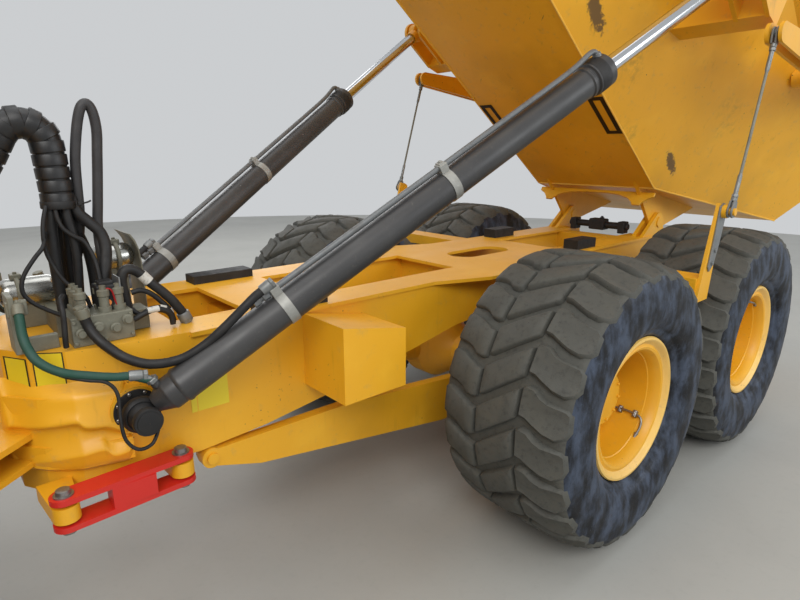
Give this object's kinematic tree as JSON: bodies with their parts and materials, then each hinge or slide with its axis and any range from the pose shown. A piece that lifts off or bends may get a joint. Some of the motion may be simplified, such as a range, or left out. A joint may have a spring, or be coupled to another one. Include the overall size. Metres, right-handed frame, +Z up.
{
  "type": "articulated dump truck",
  "caption": "Articulated six-wheel hauler with its load body raised on two hoist cylinders, a cable-drawn tailgate, a steering hinge, a cab and a tilting hood.",
  "frame": {"origin": "on the floor, under the middle of the truck's box as it stands with its body raised", "axes": "+X towards the rear, +Y towards the right-hand side, +Z up"},
  "size_m": [11.4063, 3.076, 5.3336],
  "materials": {
    "machine_paint": "satin",
    "tyre_rubber": "matt, dusty",
    "frame_grey": "satin",
    "cylinder_grey": "satin",
    "chrome_rod": "polished",
    "link_red": "satin",
    "valve_grey": "cast",
    "black_rubber": "matt",
    "galvanised": "dull",
    "machine_steel": "cast",
    "cab_glass": "clear",
    "seat_fabric": "woven",
    "trim_plastic": "grained",
    "lamp_clear": "clear",
    "lamp_red": "gloss"
  },
  "bodies": {
    "rear_chassis": {"rear_frame": "machine_paint", "bogie_beams": "machine_paint", "middle_axle": "machine_paint", "rear_axle": "machine_paint", "axle_stays": "machine_paint", "side_box": "machine_paint", "lock_link": "link_red", "valve_block": "valve_grey", "hydraulic_hoses": "black_rubber", "rest_pads": "black_rubber", "driveline": "machine_steel", "rear_lamps": "lamp_red"},
    "tractor": {"front_frame": "frame_grey", "front_axle": "machine_paint", "engine_block": "machine_steel", "bumper": "machine_paint", "fenders": "machine_paint", "side_tanks": "machine_paint", "exhaust_stack": "galvanised", "cab_shell": "machine_paint", "cab_glass": "cab_glass", "cab_seat": "seat_fabric", "dashboard": "trim_plastic", "mirrors": "trim_plastic", "front_lamps": "lamp_clear"},
    "hood": {"hood": "machine_paint"},
    "cab_door": {"cab_door": "machine_paint", "door_glass": "cab_glass"},
    "load_body": {"load_body": "machine_paint"},
    "tailgate": {"tailgate": "machine_paint"},
    "wheel_front_left": {"rim_front_left": "machine_paint", "tyre_front_left": "tyre_rubber"},
    "wheel_front_right": {"rim_front_right": "machine_paint", "tyre_front_right": "tyre_rubber"},
    "wheel_middle_left": {"rim_middle_left": "machine_paint", "tyre_middle_left": "tyre_rubber"},
    "wheel_middle_right": {"rim_middle_right": "machine_paint", "tyre_middle_right": "tyre_rubber"},
    "wheel_rear_left": {"rim_rear_left": "machine_paint", "tyre_rear_left": "tyre_rubber"},
    "wheel_rear_right": {"rim_rear_right": "machine_paint", "tyre_rear_right": "tyre_rubber"},
    "hoist_barrel_left": {"hoist_barrel_left": "cylinder_grey"},
    "hoist_rod_left": {"hoist_rod_left": "chrome_rod"},
    "steering_barrel_left": {"steering_barrel_left": "cylinder_grey"},
    "steering_rod_left": {"steering_rod_left": "chrome_rod"},
    "gate_cable_left": {"gate_cable_left": "galvanised"},
    "hoist_barrel_right": {"hoist_barrel_right": "cylinder_grey"},
    "hoist_rod_right": {"hoist_rod_right": "chrome_rod"},
    "steering_barrel_right": {"steering_barrel_right": "cylinder_grey"},
    "steering_rod_right": {"steering_rod_right": "chrome_rod"},
    "gate_cable_right": {"gate_cable_right": "galvanised"}
  },
  "joints": [
    {"name": "steering", "type": "hinge", "parent": "rear_chassis", "child": "tractor", "pos_m": [-1.7252, 0, 0.915], "axis": [0, 0, 1], "range_deg": [-45, 45]},
    {"name": "spin_front_left", "type": "hinge", "parent": "tractor", "child": "wheel_front_left", "pos_m": [-2.9352, -1.158, 0.775], "axis": [0, 1, 0], "continuous": true},
    {"name": "spin_front_right", "type": "hinge", "parent": "tractor", "child": "wheel_front_right", "pos_m": [-2.9352, 1.158, 0.775], "axis": [0, 1, 0], "continuous": true},
    {"name": "spin_middle_left", "type": "hinge", "parent": "rear_chassis", "child": "wheel_middle_left", "pos_m": [1.2378, -1.158, 0.775], "axis": [0, 1, 0], "continuous": true},
    {"name": "spin_middle_right", "type": "hinge", "parent": "rear_chassis", "child": "wheel_middle_right", "pos_m": [1.2378, 1.158, 0.775], "axis": [0, 1, 0], "continuous": true},
    {"name": "spin_rear_left", "type": "hinge", "parent": "rear_chassis", "child": "wheel_rear_left", "pos_m": [2.9078, -1.158, 0.775], "axis": [0, 1, 0], "continuous": true},
    {"name": "spin_rear_right", "type": "hinge", "parent": "rear_chassis", "child": "wheel_rear_right", "pos_m": [2.9078, 1.158, 0.775], "axis": [0, 1, 0], "continuous": true},
    {"name": "body_tip", "type": "hinge", "parent": "rear_chassis", "child": "load_body", "pos_m": [3.5018, 0, 1.468], "axis": [0, 1, 0], "range_deg": [-36, 34]},
    {"name": "gate_swing", "type": "hinge", "parent": "load_body", "child": "tailgate", "pos_m": [3.88445, 0, 2.61394], "axis": [0, -1, 0], "range_deg": [-31.5, 29.76]},
    {"name": "hoist_swing_left", "type": "hinge", "parent": "rear_chassis", "child": "hoist_barrel_left", "pos_m": [-0.8992, -0.55, 1.102], "axis": [-0.5556, -0.2417, 0.7955], "range_deg": [-3.94, 3.73]},
    {"name": "hoist_stroke_left", "type": "slide", "parent": "hoist_barrel_left", "child": "hoist_rod_left", "axis": [0.8305, -0.2072, 0.5171], "range_m": [-1.077, 1.017]},
    {"name": "cable_swing_left", "type": "hinge", "parent": "rear_chassis", "child": "gate_cable_left", "pos_m": [2.1908, -1.47, 1.729], "axis": [0, 1, 0], "range_deg": [-40.83, 38.57]},
    {"name": "steering_swing_left", "type": "hinge", "parent": "tractor", "child": "steering_barrel_left", "pos_m": [-2.9622, -0.55, 0.975], "axis": [0, 0, 1], "range_deg": [-7.52, 7.52]},
    {"name": "steering_stroke_left", "type": "slide", "parent": "steering_barrel_left", "child": "steering_rod_left", "axis": [0.9969, 0.0792, 0], "range_m": [-0.345, 0.345]},
    {"name": "hoist_swing_right", "type": "hinge", "parent": "rear_chassis", "child": "hoist_barrel_right", "pos_m": [-0.8992, 0.55, 1.102], "axis": [0.5556, -0.2417, -0.7955], "range_deg": [-3.94, 3.73]},
    {"name": "hoist_stroke_right", "type": "slide", "parent": "hoist_barrel_right", "child": "hoist_rod_right", "axis": [0.8305, 0.2072, 0.5171], "range_m": [-1.077, 1.017]},
    {"name": "cable_swing_right", "type": "hinge", "parent": "rear_chassis", "child": "gate_cable_right", "pos_m": [2.1908, 1.47, 1.729], "axis": [0, 1, 0], "range_deg": [-40.83, 38.57]},
    {"name": "steering_swing_right", "type": "hinge", "parent": "tractor", "child": "steering_barrel_right", "pos_m": [-2.9622, 0.55, 0.975], "axis": [0, 0, 1], "range_deg": [-7.52, 7.52]},
    {"name": "steering_stroke_right", "type": "slide", "parent": "steering_barrel_right", "child": "steering_rod_right", "axis": [0.9969, -0.0792, 0], "range_m": [-0.345, 0.345]},
    {"name": "hood_tilt", "type": "hinge", "parent": "tractor", "child": "hood", "pos_m": [-5.5612, 0, 1.205], "axis": [0, -1, 0], "range_deg": [0, 70]},
    {"name": "door_swing", "type": "hinge", "parent": "tractor", "child": "cab_door", "pos_m": [-3.6682, -0.896, 2.475], "axis": [0, 0, -1], "range_deg": [0, 80]}
  ],
  "couplings": [
    {"joint": "gate_swing", "follows": "body_tip", "ratio": 0.86944},
    {"joint": "hoist_swing_left", "follows": "body_tip", "ratio": 0.10397},
    {"joint": "hoist_stroke_left", "follows": "body_tip", "m_per_rad": 1.706},
    {"joint": "cable_swing_left", "follows": "body_tip", "ratio": 1.1286},
    {"joint": "steering_swing_left", "follows": "steering", "ratio": -0.16261},
    {"joint": "steering_stroke_left", "follows": "steering", "m_per_rad": -0.43239},
    {"joint": "hoist_swing_right", "follows": "body_tip", "ratio": 0.10397},
    {"joint": "hoist_stroke_right", "follows": "body_tip", "m_per_rad": 1.706},
    {"joint": "cable_swing_right", "follows": "body_tip", "ratio": 1.1286},
    {"joint": "steering_swing_right", "follows": "steering", "ratio": -0.16261},
    {"joint": "steering_stroke_right", "follows": "steering", "m_per_rad": 0.43239}
  ]
}
